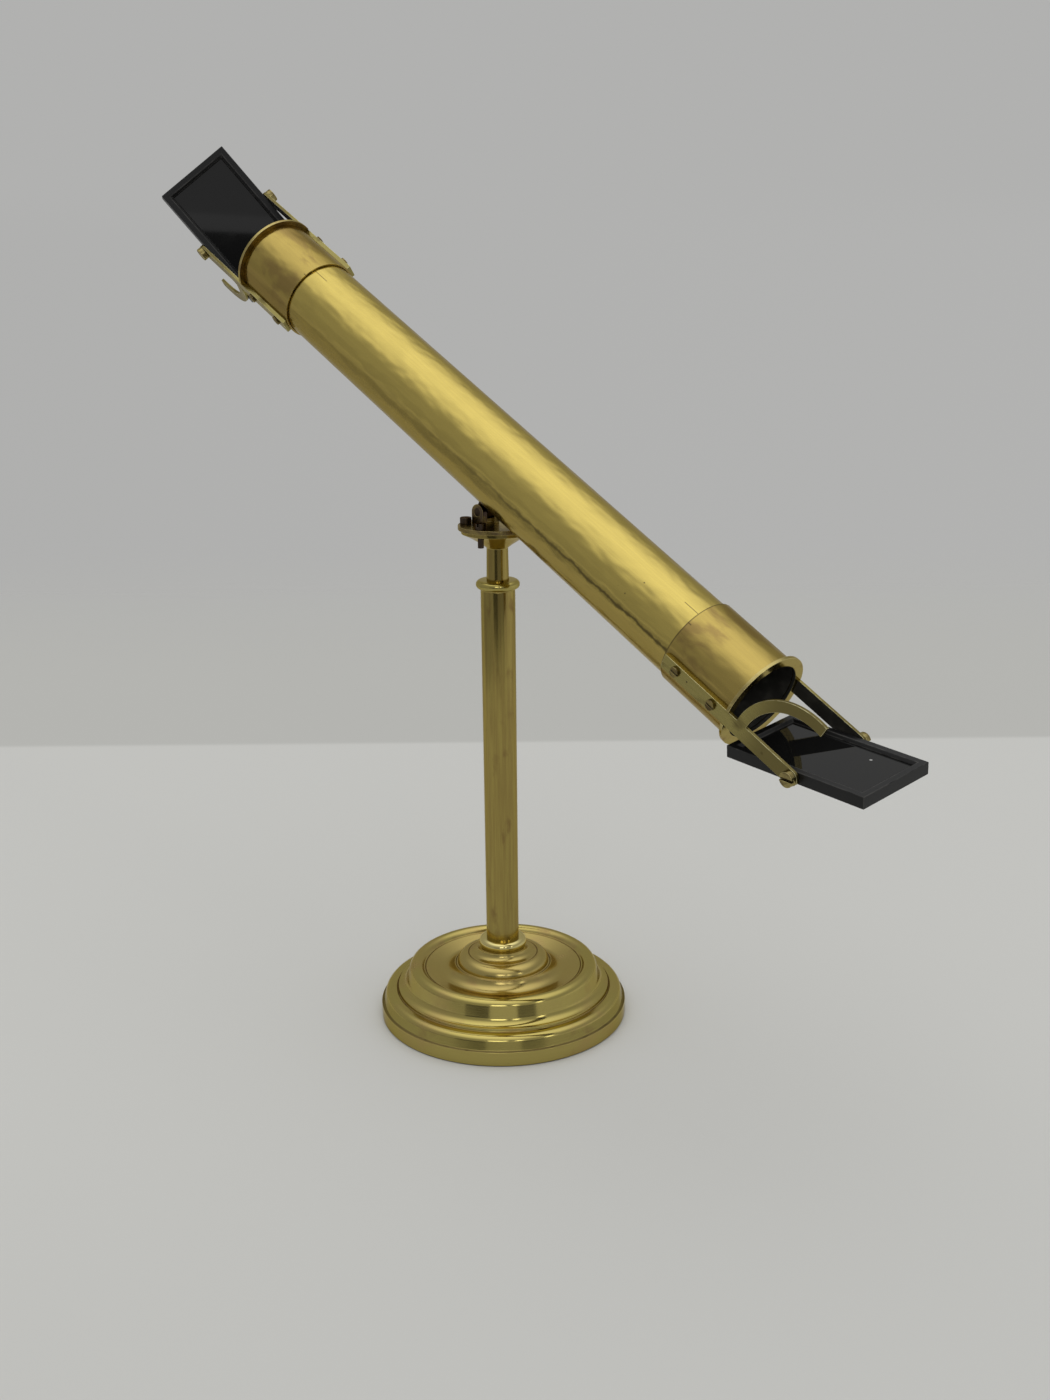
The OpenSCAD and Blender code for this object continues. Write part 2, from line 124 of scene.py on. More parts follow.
def blend(tree, share, first, second):
    made = add(tree, "Mix", {"data_type": "RGBA"})
    for place, value in ((0, share), (6, first), (7, second)):
        feed(tree, made.inputs[place], value)
    return made.outputs[2]


def split(tree, vector):
    return add(tree, "SeparateXYZ", Vector=vector).outputs


print("node helpers ready")

# %% [markdown]
# ## Soft light
# Polished metal is a picture of what is round it, so the room matters as much as the lamps. Here it is a
# plain pale room, brightest overhead and a little brighter to the front and the right. Two colour ramps
# read the bearing and one reads the height, and that makes a whole room without noise.

# %% Room light
world = bpy.data.worlds.new("room")
world.use_nodes = True
scene.world = world
room = world.node_tree
room.nodes.clear()
towards = add(room, "TexCoord").outputs["Generated"]
east, north, height = split(room, towards)
bearing = maths(room, "MULTIPLY_ADD", maths(room, "ARCTAN2", north, east), 1 / math.tau, 0.5)


def levels(tree, value, stops):
    """A colour ramp of greys, with a hint of warmth. Stops run from 0 to 1."""
    made = add(tree, "ValToRGB", Fac=value)
    stretch = made.color_ramp.elements
    for number, (place, level) in enumerate(stops):
        stop = stretch[0] if number == 0 else stretch[-1] if number == len(stops) - 1 else stretch.new(place)
        stop.position = place
        stop.color = (level, level, level * 0.985, 1)
    return made.outputs["Color"]


def by_bearing(tree, stops):
    """Levels all round the room. Stops are bearings in degrees from -180 to 180."""
    return levels(tree, bearing, [((angle + 180) / 360, level) for angle, level in stops])


walls = by_bearing(room, ((-180, 0.44), (-150, 0.40), (-130, 0.36), (-100, 0.36), (-58, 0.60), (8, 0.60),
                          (22, 0.58), (36, 0.68), (58, 0.64), (80, 0.48), (100, 0.44), (180, 0.44)))
table = by_bearing(room, ((-180, 0.42), (-150, 0.46), (-120, 0.52), (0, 0.52), (20, 0.53), (42, 0.64),
                          (60, 0.58), (90, 0.46), (180, 0.42)))
ceiling = levels(room, height, ((0, 0.44), (0.34, 0.42), (0.50, 0.42), (0.60, 0.48), (0.70, 0.62),
                                (0.78, 0.92), (0.83, 1.05), (0.93, 1.28), (1, 1.5)))
around = blend(room, ease(room, height, -0.02, 0.02), table, walls)
sky = add(room, "Background", Color=blend(room, ease(room, height, 0.14, 0.30), around, ceiling))
feed(room, add(room, "OutputWorld").inputs["Surface"], sky.outputs[0])
print("room has", len(room.nodes), "nodes")

# %% [markdown]
# Three windows stand behind the camera. They are dull as lamps, but each draws a short bright bar on the
# polished rolls of the foot. An area lamp is the plain way to make a window. Its power follows from the
# brightness that the glass should have: power is brightness times area times pi.

# %% Windows
middle = Vector((0, 0, 0.12))
window_out, window_rise, window_h, brightness = 2.3, 23, 0.6, 2.3
for number, (facing, wide) in enumerate(((-50, 0.70), (-30, 0.28), (0, 0.28))):
    lamp_data = bpy.data.lights.new(f"window_{number}", "AREA")
    lamp_data.shape = "RECTANGLE"
    lamp_data.size = wide
    lamp_data.size_y = window_h
    lamp_data.energy = brightness * math.pi * wide * window_h
    lamp = bpy.data.objects.new(f"window_{number}", lamp_data)
    scene.collection.objects.link(lamp)
    angle = math.radians(facing)
    out = Vector((math.cos(angle), math.sin(angle), math.tan(math.radians(window_rise))))
    lamp.location = middle + out * window_out
    lamp.rotation_euler = out.to_track_quat("Z", "Y").to_euler()
    lamp.visible_camera = False
    print(lamp.name, "gives", round(lamp_data.energy, 2), "watts")

# %% [markdown]
# Bright metal needs something dark to show, so a photographer stands dark cards outside the picture. Two
# upright ones beside the camera draw the dark bars on the foot, and three flat ones low in front draw the
# dark streak on the pillar and the dark side of the tube. The last three hang over the camera for the upper
# mirror: a dark card, a pale strip and a grey card on top. A strip that bends round the object is an edge
# spun part of a turn. A card that glows at a set level needs no light of its own to be the right grey.

# %% Cards
def card(name, centre, bearings, near, far, level):
    """A strip round a centre. Near and far are its two edges, each a distance out and a height, in metres."""
    bm = bmesh.new()
    ends = [bm.verts.new((reach, 0, rise)) for reach, rise in (near, far)]
    edge = bm.edges.new(ends)
    first, last = (math.radians(angle) for angle in bearings)
    bmesh.ops.rotate(bm, verts=ends, cent=(0, 0, 0), matrix=Matrix.Rotation(first, 3, "Z"))
    bmesh.ops.spin(bm, geom=ends + [edge], cent=(0, 0, 0), axis=(0, 0, 1), angle=last - first, steps=12)
    bmesh.ops.translate(bm, verts=bm.verts, vec=centre)
    data = bpy.data.meshes.new(name)
    bm.to_mesh(data)
    bm.free()
    glow = bpy.data.materials.new(name)
    glow.use_nodes = True
    glow.node_tree.nodes.clear()
    grey = add(glow.node_tree, "Emission", Color=(level, level, level, 1))
    feed(glow.node_tree, add(glow.node_tree, "OutputMaterial").inputs["Surface"], grey.outputs[0])
    data.materials.append(glow)
    made = bpy.data.objects.new(name, data)
    scene.collection.objects.link(made)
    made.visible_camera = False
    print(name, "spans", bearings[1] - bearings[0], "degrees")


foot_middle, mirror_middle = (0, 0, 0), (-0.2, 0, 0.4)
card_out, under_paper, over_camera = 2.5, -0.003, (-44, -26.5)
card("left_card", foot_middle, (-88, -60), (card_out, 0), (card_out, 0.56), 0.13)
card("right_card", foot_middle, (-28.5, -7.5), (card_out, 0), (card_out, 0.56), 0.17)
card("low_side_card", foot_middle, (-155, -75), (0.64, under_paper), (card_out, under_paper), 0.31)
card("low_left_card", foot_middle, (-75, -46), (0.62, under_paper), (card_out, under_paper), 0.06)
card("low_right_card", foot_middle, (-46, -5), (0.62, under_paper), (card_out, under_paper), 0.21)
card("high_dark_card", mirror_middle, over_camera, (card_out, 0.81), (card_out, 1.285), 0.10)
card("high_pale_strip", mirror_middle, over_camera, (card_out, 1.285), (card_out, 1.33), 1.1)
card("high_grey_card", mirror_middle, over_camera, (card_out, 1.33), (card_out, 1.65), 0.82)

# %% [markdown]
# ## The floor
# The floor is a sheet of pale paper, wide behind the object and narrower in front of it. Its rim fades into
# the room, so that it shows no edge from any side. Far from the object the paper is painted a little darker:
# that is painted shade, standing for the part of a sheet that starts to climb and so takes less light.

# %% Paper floor
paper_mesh = bmesh.new()
floor_r, sweep_shade_from, sweep_shade_to = 3, 0.452, 0.462
bmesh.ops.create_circle(paper_mesh, cap_ends=True, segments=128, radius=floor_r)
floor_data = bpy.data.meshes.new("floor")
paper_mesh.to_mesh(floor_data)
paper_mesh.free()
floor = bpy.data.objects.new("floor", floor_data)
scene.collection.objects.link(floor)
paper = bpy.data.materials.new("paper")
paper.use_nodes = True
tree = paper.node_tree
tree.nodes.clear()
on_floor = add(tree, "TexCoord").outputs["Object"]
away_from_camera, across_view = (-0.709, 0.705, 0), (0.705, 0.709, 0)
depth = vectors(tree, "DOT_PRODUCT", on_floor, away_from_camera)
sideways = maths(tree, "ABSOLUTE", vectors(tree, "DOT_PRODUCT", on_floor, across_view))
# Painted shade: beyond this line the paper is painted darker, for a sheet that climbs and takes less light.
sweep_shade = ease(tree, depth, sweep_shade_from, sweep_shade_to)
near_tone = blend(tree, ease(tree, depth, -0.35, -0.05), (0.630, 0.630, 0.613, 1), (0.665, 0.665, 0.647, 1))
tone = blend(tree, sweep_shade, near_tone, (0.565, 0.565, 0.546, 1))
sheet = add(tree, "BsdfDiffuse", Color=tone)
stays = times(tree, ease(tree, maths(tree, "MULTIPLY_ADD", depth, -0.3, sideways), 0.75, 0.45),
              times(tree, ease(tree, depth, -0.85, -0.60), ease(tree, depth, 1.3, 0.6)))
fade = maths(tree, "SUBTRACT", 1, stays)
edge = add(tree, "MixShader")
feed(tree, edge.inputs[0], fade)
feed(tree, edge.inputs[1], sheet.outputs[0])
feed(tree, edge.inputs[2], add(tree, "BsdfTransparent").outputs[0])
feed(tree, add(tree, "OutputMaterial").inputs["Surface"], edge.outputs[0])
floor_data.materials.append(paper)
print("floor is", floor.dimensions.x, "m across")

# %% [markdown]
# ## Where things lie
# The tube slopes down from the tilt pin, and each end of it carries a collar that was left turned by some
# angle, with a mirror left swung by another. A matrix holds each of these places: its columns are the
# directions of the piece's own axes. Drawing a piece in its own axes and then laying it with the matrix is
# much easier than drawing it aslant.

# %% Places of the tube, its ends and its mirrors
mm = 0.001


def shift(x, y, z):
    return Matrix.Translation(Vector((x, y, z)) * mm)


def spun(angle, axis):
    return Matrix.Rotation(math.radians(angle), 4, axis)


tube_slope, end_out, pivot_out = 28.5, 186.3, 38
upper_turn, lower_turn = 223.5, 8
mirror_swing = {"upper": -144.5, "lower": -25}
low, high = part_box("tilt_pin")
upright = Matrix.Identity(4)
on_tube = Matrix.Translation((low + high) / 2) @ spun(tube_slope, "Y") @ shift(-7.5, 0, 26.2)
on_end = {
    "upper": on_tube @ spun(upper_turn, "X") @ spun(180, "Z") @ shift(end_out, 0, 0),
    "lower": on_tube @ spun(lower_turn, "X") @ shift(end_out, 0, 0),
}
on_mirror = {end: on_end[end] @ shift(pivot_out, 0, 0) @ spun(mirror_swing[end], "Y") for end in on_end}
print("middle of the tube:", [round(part, 4) for part in on_tube.translation])

# %% [markdown]
# ## From a drawn shape to a piece
# Every piece ends the same way. Its own coordinates are kept in an attribute called lie, so that the grain
# of the metal follows the piece and not the world. Sharp edges get a small round, and the faces of that
# round are marked in an attribute called worn, because hands and cloths polish edges first. Then the shape
# is laid in place, and handed to the body that it moves with. A Weighted Normal modifier keeps the wide
# faces flat beside the narrow rounds.

# %% Finishing a piece
def round_edges(bm, width, sharper_than=32):
    """Rounds the sharp edges and marks the new faces as worn."""
    worn = bm.faces.layers.float.new("worn")
    sharp = [e for e in bm.edges if e.is_manifold and e.calc_face_angle() > math.radians(sharper_than)]
    made = bmesh.ops.bevel(bm, geom=sharp, offset=width, offset_type="OFFSET", affect="EDGES", segments=2,
                           profile=0.5, material=-1, clamp_overlap=False, loop_slide=True)
    for face in made["faces"]:
        face[worn] = 1


def hand_over(name, bm, place, body, nodes, finishes):
    """Lays a shape drawn in millimetres, and makes it the piece that stands for those nodes."""
    lie = bm.verts.layers.float_vector.new("lie")
    for vert in bm.verts:
        vert[lie] = vert.co
    for face in bm.faces:
        face.smooth = True
    bmesh.ops.transform(bm, matrix=place @ Matrix.Scale(mm, 4), verts=bm.verts)
    mesh = bpy.data.meshes.new(name)
    bm.to_mesh(mesh)
    bm.free()
    for finish in finishes:
        mesh.materials.append(finish)
    piece = bpy.data.objects.new(name, mesh)
    scene.collection.objects.link(piece)
    piece.modifiers.new("even_normals", "WEIGHTED_NORMAL").keep_sharp = True
    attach(piece, body)
    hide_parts(*nodes)
    print(name, "has", len(mesh.polygons), "faces")


print("finishing helpers ready")

# %% [markdown]
# ## Grain, tarnish and wear
# The same few effects appear on most of the metal, so each is a node group that is built once. A turned
# piece carries fine rings from the lathe, and a drawn tube carries fine lines along its length. Both are a
# noise that is stretched: the rings by reading only the radius and the height, the lines by reading the
# length slowly.

# %% Node groups for grain
def new_group(name, vectors_in, numbers_in, output):
    group = bpy.data.node_groups.new(name, "ShaderNodeTree")
    for kind, labels in (("Vector", vectors_in), ("Float", numbers_in)):
        for label in labels:
            group.interface.new_socket(label, in_out="INPUT", socket_type="NodeSocket" + kind)
    group.interface.new_socket(output, in_out="OUTPUT", socket_type="NodeSocketFloat")
    return group, group.nodes.new("NodeGroupInput").outputs, group.nodes.new("NodeGroupOutput").inputs[0]


def use(tree, group, **inputs):
    made = tree.nodes.new("ShaderNodeGroup")
    made.node_tree = group
    for label, value in inputs.items():
        feed(tree, made.inputs[label], value)
    return made.outputs[0]


lathe_rings, given, result = new_group("lathe_rings", ["Lie"], ["Fineness"], "Rings")
parts = split(lathe_rings, given["Lie"])
squares = [times(lathe_rings, part, part) for part in (parts[0], parts[1])]
across = maths(lathe_rings, "SQRT", maths(lathe_rings, "ADD", *squares))
ring_place = add(lathe_rings, "CombineXYZ", X=times(lathe_rings, across, given["Fineness"]),
                 Y=times(lathe_rings, parts[2], given["Fineness"]),
                 Z=times(lathe_rings, parts[0], 0.02))
rings = add(lathe_rings, "TexNoise", Vector=ring_place.outputs[0], Scale=1.0, Detail=3.0, Roughness=0.6)
feed(lathe_rings, result, rings.outputs["Fac"])

drawn_lines, given, result = new_group("drawn_lines", ["Lie"], ["Fineness"], "Lines")
parts = split(drawn_lines, given["Lie"])
line_place = add(drawn_lines, "CombineXYZ", X=times(drawn_lines, parts[0], 0.03),
                 Y=times(drawn_lines, parts[1], given["Fineness"]),
                 Z=times(drawn_lines, parts[2], given["Fineness"]))
lines = add(drawn_lines, "TexNoise", Vector=line_place.outputs[0], Scale=1.0, Detail=4.0, Roughness=0.6)
feed(drawn_lines, result, lines.outputs["Fac"])
print("groups:", lathe_rings.name, drawn_lines.name)

# %% [markdown]
# Lacquer fails in patches, and the bare brass there turns brown. A cloudy noise that is cut off at a level
# gives such patches: the cover is how much of the metal they take. Specks are the small dark pits that
# damp leaves. They come from the distance to scattered points.

# %% Node groups for tarnish, specks and wear
tarnish, given, result = new_group("tarnish", ["Lie"], ["Size", "Cover", "Softness"], "Mask")
spread = vectors(tarnish, "DIVIDE", given["Lie"], given["Size"])
cloud = add(tarnish, "TexNoise", Vector=spread, Scale=1.0, Detail=4.0, Roughness=0.55, Distortion=0.3)
level = maths(tarnish, "SUBTRACT", 0.8, times(tarnish, given["Cover"], 0.6))
patches = ease(tarnish, cloud.outputs["Fac"], level, maths(tarnish, "ADD", level, given["Softness"]))
feed(tarnish, result, patches)

specks, given, result = new_group("specks", ["Lie"], ["Spacing", "Size"], "Mask")
spread = vectors(specks, "DIVIDE", given["Lie"], given["Spacing"])
pits = add(specks, "TexVoronoi", Vector=spread, Scale=1.0, Randomness=1.0)
near = maths(specks, "DIVIDE", given["Size"], given["Spacing"])
dots = ease(specks, pits.outputs["Distance"], near, times(specks, near, 0.5))
some = ease(specks, add(specks, "SeparateColor", Color=pits.outputs["Color"]).outputs[0], 0.55, 0.75)
feed(specks, result, times(specks, dots, some))

worn_edges, given, result = new_group("worn_edges", ["Lie"], ["Size"], "Mask")
on_edge = add(worn_edges, "Attribute", {"attribute_name": "worn"}).outputs["Fac"]
spread = vectors(worn_edges, "DIVIDE", given["Lie"], given["Size"])
rub = add(worn_edges, "TexNoise", Vector=spread, Scale=1.0, Detail=4.0, Roughness=0.6)
touched = ease(worn_edges, rub.outputs["Fac"], 0.3, 0.6)
feed(worn_edges, result, times(worn_edges, on_edge, touched))
print("groups:", tarnish.name, specks.name, worn_edges.name)

# %% [markdown]
# Marks on the metal are fine scribed lines and small punched dots. A scribed line along a tube lies at one
# angle round it and runs between two places along it. Measuring sideways from that angle gives a line of
# even width, which an angle alone would not.

# %% Node groups for marks
scribed, given, result = new_group("scribed", ["Lie"], ["Angle", "From", "To", "Width"], "Mask")
parts = split(scribed, given["Lie"])
turned = maths(scribed, "RADIANS", given["Angle"])
sine, cosine = maths(scribed, "SINE", turned), maths(scribed, "COSINE", turned)
side = maths(scribed, "ADD", times(scribed, parts[1], cosine), times(scribed, parts[2], sine))
rise = maths(scribed, "SUBTRACT", times(scribed, parts[2], cosine), times(scribed, parts[1], sine))
thin = ease(scribed, maths(scribed, "ABSOLUTE", side), given["Width"], times(scribed, given["Width"], 0.4))
starts = maths(scribed, "GREATER_THAN", parts[0], given["From"])
ends = maths(scribed, "LESS_THAN", parts[0], given["To"])
inside = times(scribed, times(scribed, starts, ends), maths(scribed, "GREATER_THAN", rise, 0))
feed(scribed, result, times(scribed, thin, inside))

punched, given, result = new_group("punched", ["Lie", "Place"], ["Radius"], "Mask")
away = vectors(punched, "DISTANCE", given["Lie"], given["Place"])
hole = ease(punched, away, given["Radius"], times(punched, given["Radius"], 0.6))
feed(punched, result, hole)
print("groups:", scribed.name, punched.name)

# %% [markdown]
# ## Brass
# All the brass shares one recipe: a metal whose colour slides from clean to browned where the lacquer has
# failed, whose edges are rubbed bright, and whose roughness follows the grain. The recipe is a function, so
# that each finish states only what is its own: its colours, its grain and how much of it has tarnished. On a
# drawn piece the patches are stretched along the grain, and a thin tube also has shallow dents, which bend
# the reflections.

# %% Brass recipe
def new_material(name):
    made = bpy.data.materials.new(name)
    made.use_nodes = True
    made.node_tree.nodes.clear()
    lie = add(made.node_tree, "Attribute", {"attribute_name": "lie"}).outputs["Vector"]
    return made, made.node_tree, lie


def close(tree, shader):
    feed(tree, add(tree, "OutputMaterial").inputs["Surface"], shader.outputs[0])


def scaled(tree, vector, factors):
    return vectors(tree, "MULTIPLY", vector, factors)


def brass(name, clean, browned, bright, grain, fineness, rough, cover, size, relief, streaks=0.15, coat=0.12,
          rub=0.6, soft=0.22, dents=0, marks_and_shade=None, stains_and_shade=None, haze=None):
    made, tree, lie = new_material(name)
    run = lie
    if grain == "upright":
        parts = split(tree, lie)
        run = add(tree, "CombineXYZ", X=parts[2], Y=parts[0], Z=parts[1]).outputs[0]
    if grain == "turned":
        lines = use(tree, lathe_rings, Lie=lie, Fineness=fineness)
    else:
        lines = use(tree, drawn_lines, Lie=run, Fineness=fineness)
        run = scaled(tree, run, (0.4, 1, 1))
    patches = use(tree, tarnish, Lie=run, Size=size, Cover=cover, Softness=soft)
    # Stains may carry painted shade too: on the tube and its collars they paint the underside and the far top
    # browner.
    if stains_and_shade:
        patches = maths(tree, "MAXIMUM", patches, stains_and_shade(tree, lie))
    pits = use(tree, specks, Lie=lie, Spacing=6.0, Size=0.22)
    rubbed = use(tree, worn_edges, Lie=lie, Size=5.0)
    tone = blend(tree, times(tree, ease(tree, lines, 0.3, 0.7), streaks), clean, browned)
    tone = blend(tree, patches, tone, browned)
    tone = blend(tree, times(tree, pits, 0.6), tone, (0.09, 0.06, 0.025, 1))
    tone = blend(tree, times(tree, rubbed, rub), tone, bright)
    # Marks may carry painted shade too: the dark lines where the tube meets its collars.
    if marks_and_shade:
        tone = blend(tree, times(tree, marks_and_shade(tree, lie), 0.85), tone, (0.05, 0.035, 0.015, 1))
    gloss = maths(tree, "MULTIPLY_ADD", lines, 0.8 * rough, 0.6 * rough)
    gloss = maths(tree, "ADD", gloss, times(tree, patches, 0.07))
    if haze:
        dull = haze(tree, lie)
        tone = blend(tree, times(tree, dull, 0.5), tone, (0.43, 0.285, 0.125, 1))
        gloss = maths(tree, "ADD", gloss, times(tree, dull, 0.16))
    bump = add(tree, "Bump", Strength=relief, Distance=0.00004, Height=lines)
    if dents:
        waves = add(tree, "TexNoise", Vector=scaled(tree, run, (0.17, 0.17, 0.17)), Scale=1.0, Detail=1.0)
        dented = add(tree, "Bump", Distance=dents, Height=waves.outputs["Fac"])
        feed(tree, bump.inputs["Normal"], dented.outputs[0])
    shader = add(tree, "BsdfPrincipled", Base_Color=tone, Metallic=1.0, Roughness=gloss,
                 Normal=bump.outputs[0], Specular_Tint=(0.78, 0.70, 0.48, 1), Coat_Weight=coat,
                 Coat_Roughness=0.12, Coat_IOR=1.5)
    close(tree, shader)
    print("brass:", name)
    return made


def colour(red, green, blue):
    return (red, green, blue, 1)


print("brass recipe ready")

# %% [markdown]
# ## The turned finishes
# The foot and the bead came off the lathe and were polished. The column and the neck were drawn with emery
# along their length, which left upright streaks. The small ring under the column is the brightest piece of
# all, as if it had been replaced. Round the sides of the foot the lacquer has gone dull and pink.

# %% Turned brass
def off_axis(tree, parts):
    """The distance from the upright axis of a turned piece."""
    return vectors(tree, "LENGTH", add(tree, "CombineXYZ", X=parts[0], Y=parts[1]).outputs[0])


def foot_stains(tree, lie):
    """Brown stains in the hollows, strongest beside the turned lines."""
    radius = off_axis(tree, split(tree, lie))
    mask = None
    for line, width in ((55.2, 1.5), (41.0, 2.0), (26.0, 2.6), (17.0, 2.4)):
        off = maths(tree, "ABSOLUTE", maths(tree, "SUBTRACT", radius, line))
        near_line = ease(tree, off, width, 0.2)
        mask = near_line if mask is None else maths(tree, "MAXIMUM", mask, near_line)
    clouds = use(tree, tarnish, Lie=lie, Size=9.0, Cover=0.62, Softness=0.35)
    return times(tree, times(tree, mask, clouds), 0.8)


def foot_haze(tree, lie):
    """Dull lacquer in the dish, and dull clouds round the sides. The front is rubbed clear."""
    parts = split(tree, lie)
    radius = off_axis(tree, parts)
    forward = maths(tree, "SUBTRACT", times(tree, parts[0], 0.72), times(tree, parts[1], 0.69))
    sides = ease(tree, maths(tree, "DIVIDE", forward, radius), 0.96, 0.72)
    clouds = use(tree, tarnish, Lie=lie, Size=20.0, Cover=0.66, Softness=0.35)
    in_dish = times(tree, ease(tree, radius, 42, 38), 0.55)
    return maths(tree, "MAXIMUM", in_dish, times(tree, sides, clouds))


polished = brass("polished_turned_brass", colour(0.445, 0.370, 0.112), colour(0.34, 0.225, 0.085),
                 colour(0.52, 0.43, 0.15), "turned", 1.6, 0.125, 0.30, 24, 0.02, streaks=0.10, rub=0.2,
                 stains_and_shade=foot_stains, haze=foot_haze)
bead_brass = brass("polished_bead_brass", colour(0.41, 0.34, 0.100), colour(0.34, 0.225, 0.075),
                   colour(0.52, 0.43, 0.15), "turned", 1.6, 0.08, 0.30, 24, 0.02, streaks=0.08, rub=0.2)
satin = brass("satin_turned_brass", colour(0.385, 0.302, 0.085), colour(0.24, 0.158, 0.052),
              colour(0.50, 0.41, 0.15), "upright", 0.9, 0.13, 0.40, 7, 0.06, streaks=0.5)
ring_bright = brass("bright_ring_brass", colour(0.66, 0.57, 0.24), colour(0.46, 0.34, 0.13),
                    colour(0.80, 0.69, 0.32), "turned", 2.0, 0.09, 0.25, 7, 0.03)

# %% [markdown]
# ## Drawing a turned piece
# A turner reads a piece as one outline, so that is what the helper walks: a pair of numbers is a straight
# run to a radius and a height, and three numbers are an arc round a centre by an angle. One spin of the
# outline about the upright makes the body. The ends of the walk that lie on the axis fall together when
# the doubles are merged, and so does the seam.

# %% Turning helper
def walk(bm, start, moves, arc_steps):
    tip = bm.verts.new((start[0], 0, start[1]))
    for move in moves:
        if len(move) == 2:
            tip = bmesh.ops.extrude_vert_indiv(bm, verts=[tip])["verts"][0]
            tip.co = (move[0], 0, move[1])
        else:
            arc = bmesh.ops.spin(bm, geom=[tip], cent=(move[0], 0, move[1]), axis=(0, -1, 0),
                                 angle=math.radians(move[2]), steps=arc_steps)
            tip = next(part for part in arc["geom_last"] if isinstance(part, bmesh.types.BMVert))


def turn_outline(start, moves, round_by, around=128, arc_steps=14):
    bm = bmesh.new()
    walk(bm, start, moves, arc_steps)
    bmesh.ops.spin(bm, geom=bm.verts[:] + bm.edges[:], cent=(0, 0, 0), axis=(0, 0, 1), angle=math.tau,
                   steps=around, use_merge=True)
    bmesh.ops.remove_doubles(bm, verts=bm.verts, dist=0.0005)
    bmesh.ops.recalc_face_normals(bm, faces=bm.faces)
    round_edges(bm, round_by)
    return bm


print("turning helper ready")

# %% [markdown]
# ## The foot
# The foot is heavy, so that the long tube can't tip the stand over. From the rim inwards it has a plain
# band, a leaning shoulder, a hollow, a rounded crest, a shallow dish, a small hollow and a boss. Four fine
# turned lines part them and hold old polish, so their faces get a dirty finish of their own. The step over
# the band and the eased lower edge are painted dark as painted shade, for the shade in the step and the
# contact shadow at the floor, and the shoulder has gone dull.

# %% Foot
line_radii = (55.242, 40.387, 24.4, 17.8)
band_r, band_h, eased, step_r, step_h = 63.5, 7.5, 0.6, 62.3, 0.6
shoulder_from, shoulder_h = 57, 12.0
foot_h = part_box("foot")[1].z / mm


def turned_line(radius, level):
    return [(radius + 0.4, level), (radius, level - 0.4), (radius - 0.4, level)]


foot_moves = [(band_r - eased, 0), (band_r, eased), (band_r, band_h), (step_r, band_h + step_h)]
foot_moves += [(61.328, shoulder_h), (57.932, 11.153, 76)]
foot_moves += turned_line(line_radii[0], 14.653) + [(54.588, 15.956), (54.762, 20.953, -74)]
foot_moves += [(48.689, 24.644), (44.808, 23.676, 140.849)]
foot_moves += turned_line(line_radii[1], 25.376) + [(32.835, 23.108), (31.022, 28.828, -93.594)]
foot_moves += turned_line(line_radii[2], 27.376) + [(23.6, 27.376), (18.2, 27.376, 88)]
foot_moves += turned_line(line_radii[3], foot_h - 3.4)
foot_moves += [(15.481, foot_h - 3.398), (15.6, foot_h, -88), (0, foot_h)]
old_polish_and_shade = brass("old_polish_and_shade", colour(0.22, 0.15, 0.045), colour(0.12, 0.075, 0.03), colour(0.3, 0.2, 0.08),
                   "turned", 3.0, 0.35, 0.5, 8, 0.1)
step_and_contact_shade = brass("step_and_contact_shade", colour(0.17, 0.130, 0.048), colour(0.08, 0.056, 0.022),
                  colour(0.20, 0.15, 0.06), "turned", 3.0, 0.5, 0.5, 8, 0.1, coat=0)
dull_shoulder = brass("dull_shoulder_brass", colour(0.350, 0.292, 0.086), colour(0.26, 0.175, 0.066),
                      colour(0.50, 0.41, 0.145), "turned", 1.6, 0.15, 0.34, 20, 0.02, streaks=0.12, rub=0.2,
                      stains_and_shade=foot_stains)
foot_shape = turn_outline((0, 0), foot_moves, 0.12)
in_lines = 0
for face in foot_shape.faces:
    spot = face.calc_center_median()
    reach = spot.xy.length
    # Painted shade: the step over the band and the eased lower edge take the dark step finish, for the shade
    # in the step and the contact shadow at the floor.
    in_step = step_r + 0.1 < reach < band_r - 0.2 and band_h < spot.z < band_h + step_h + 0.1
    under_edge = reach > band_r - eased - 0.1 and spot.z < eased and face.normal.z > -0.95
    in_line = any(abs(reach - radius) < 0.3 for radius in line_radii) and spot.z > 10 and face.normal.z < 0.95
    if in_line:
        face.material_index = 1
        in_lines += 1
    elif in_step or under_edge:
        face.material_index = 2
    elif reach > shoulder_from and band_h + 0.5 < spot.z < shoulder_h + 0.2:
        face.material_index = 3
hand_over("foot_turned", foot_shape, upright, "stand", ["foot"],
          [polished, old_polish_and_shade, step_and_contact_shade, dull_shoulder])
print("faces in the turned lines:", in_lines)

# %% [markdown]
# ## The pillar
# A bright half-round ring, a column that widens a hair upwards, a flat bead, and a neck that opens like a
# trumpet to carry the joint. Each is a separate piece that screws into the next. The column has one fine
# line just under the bead.

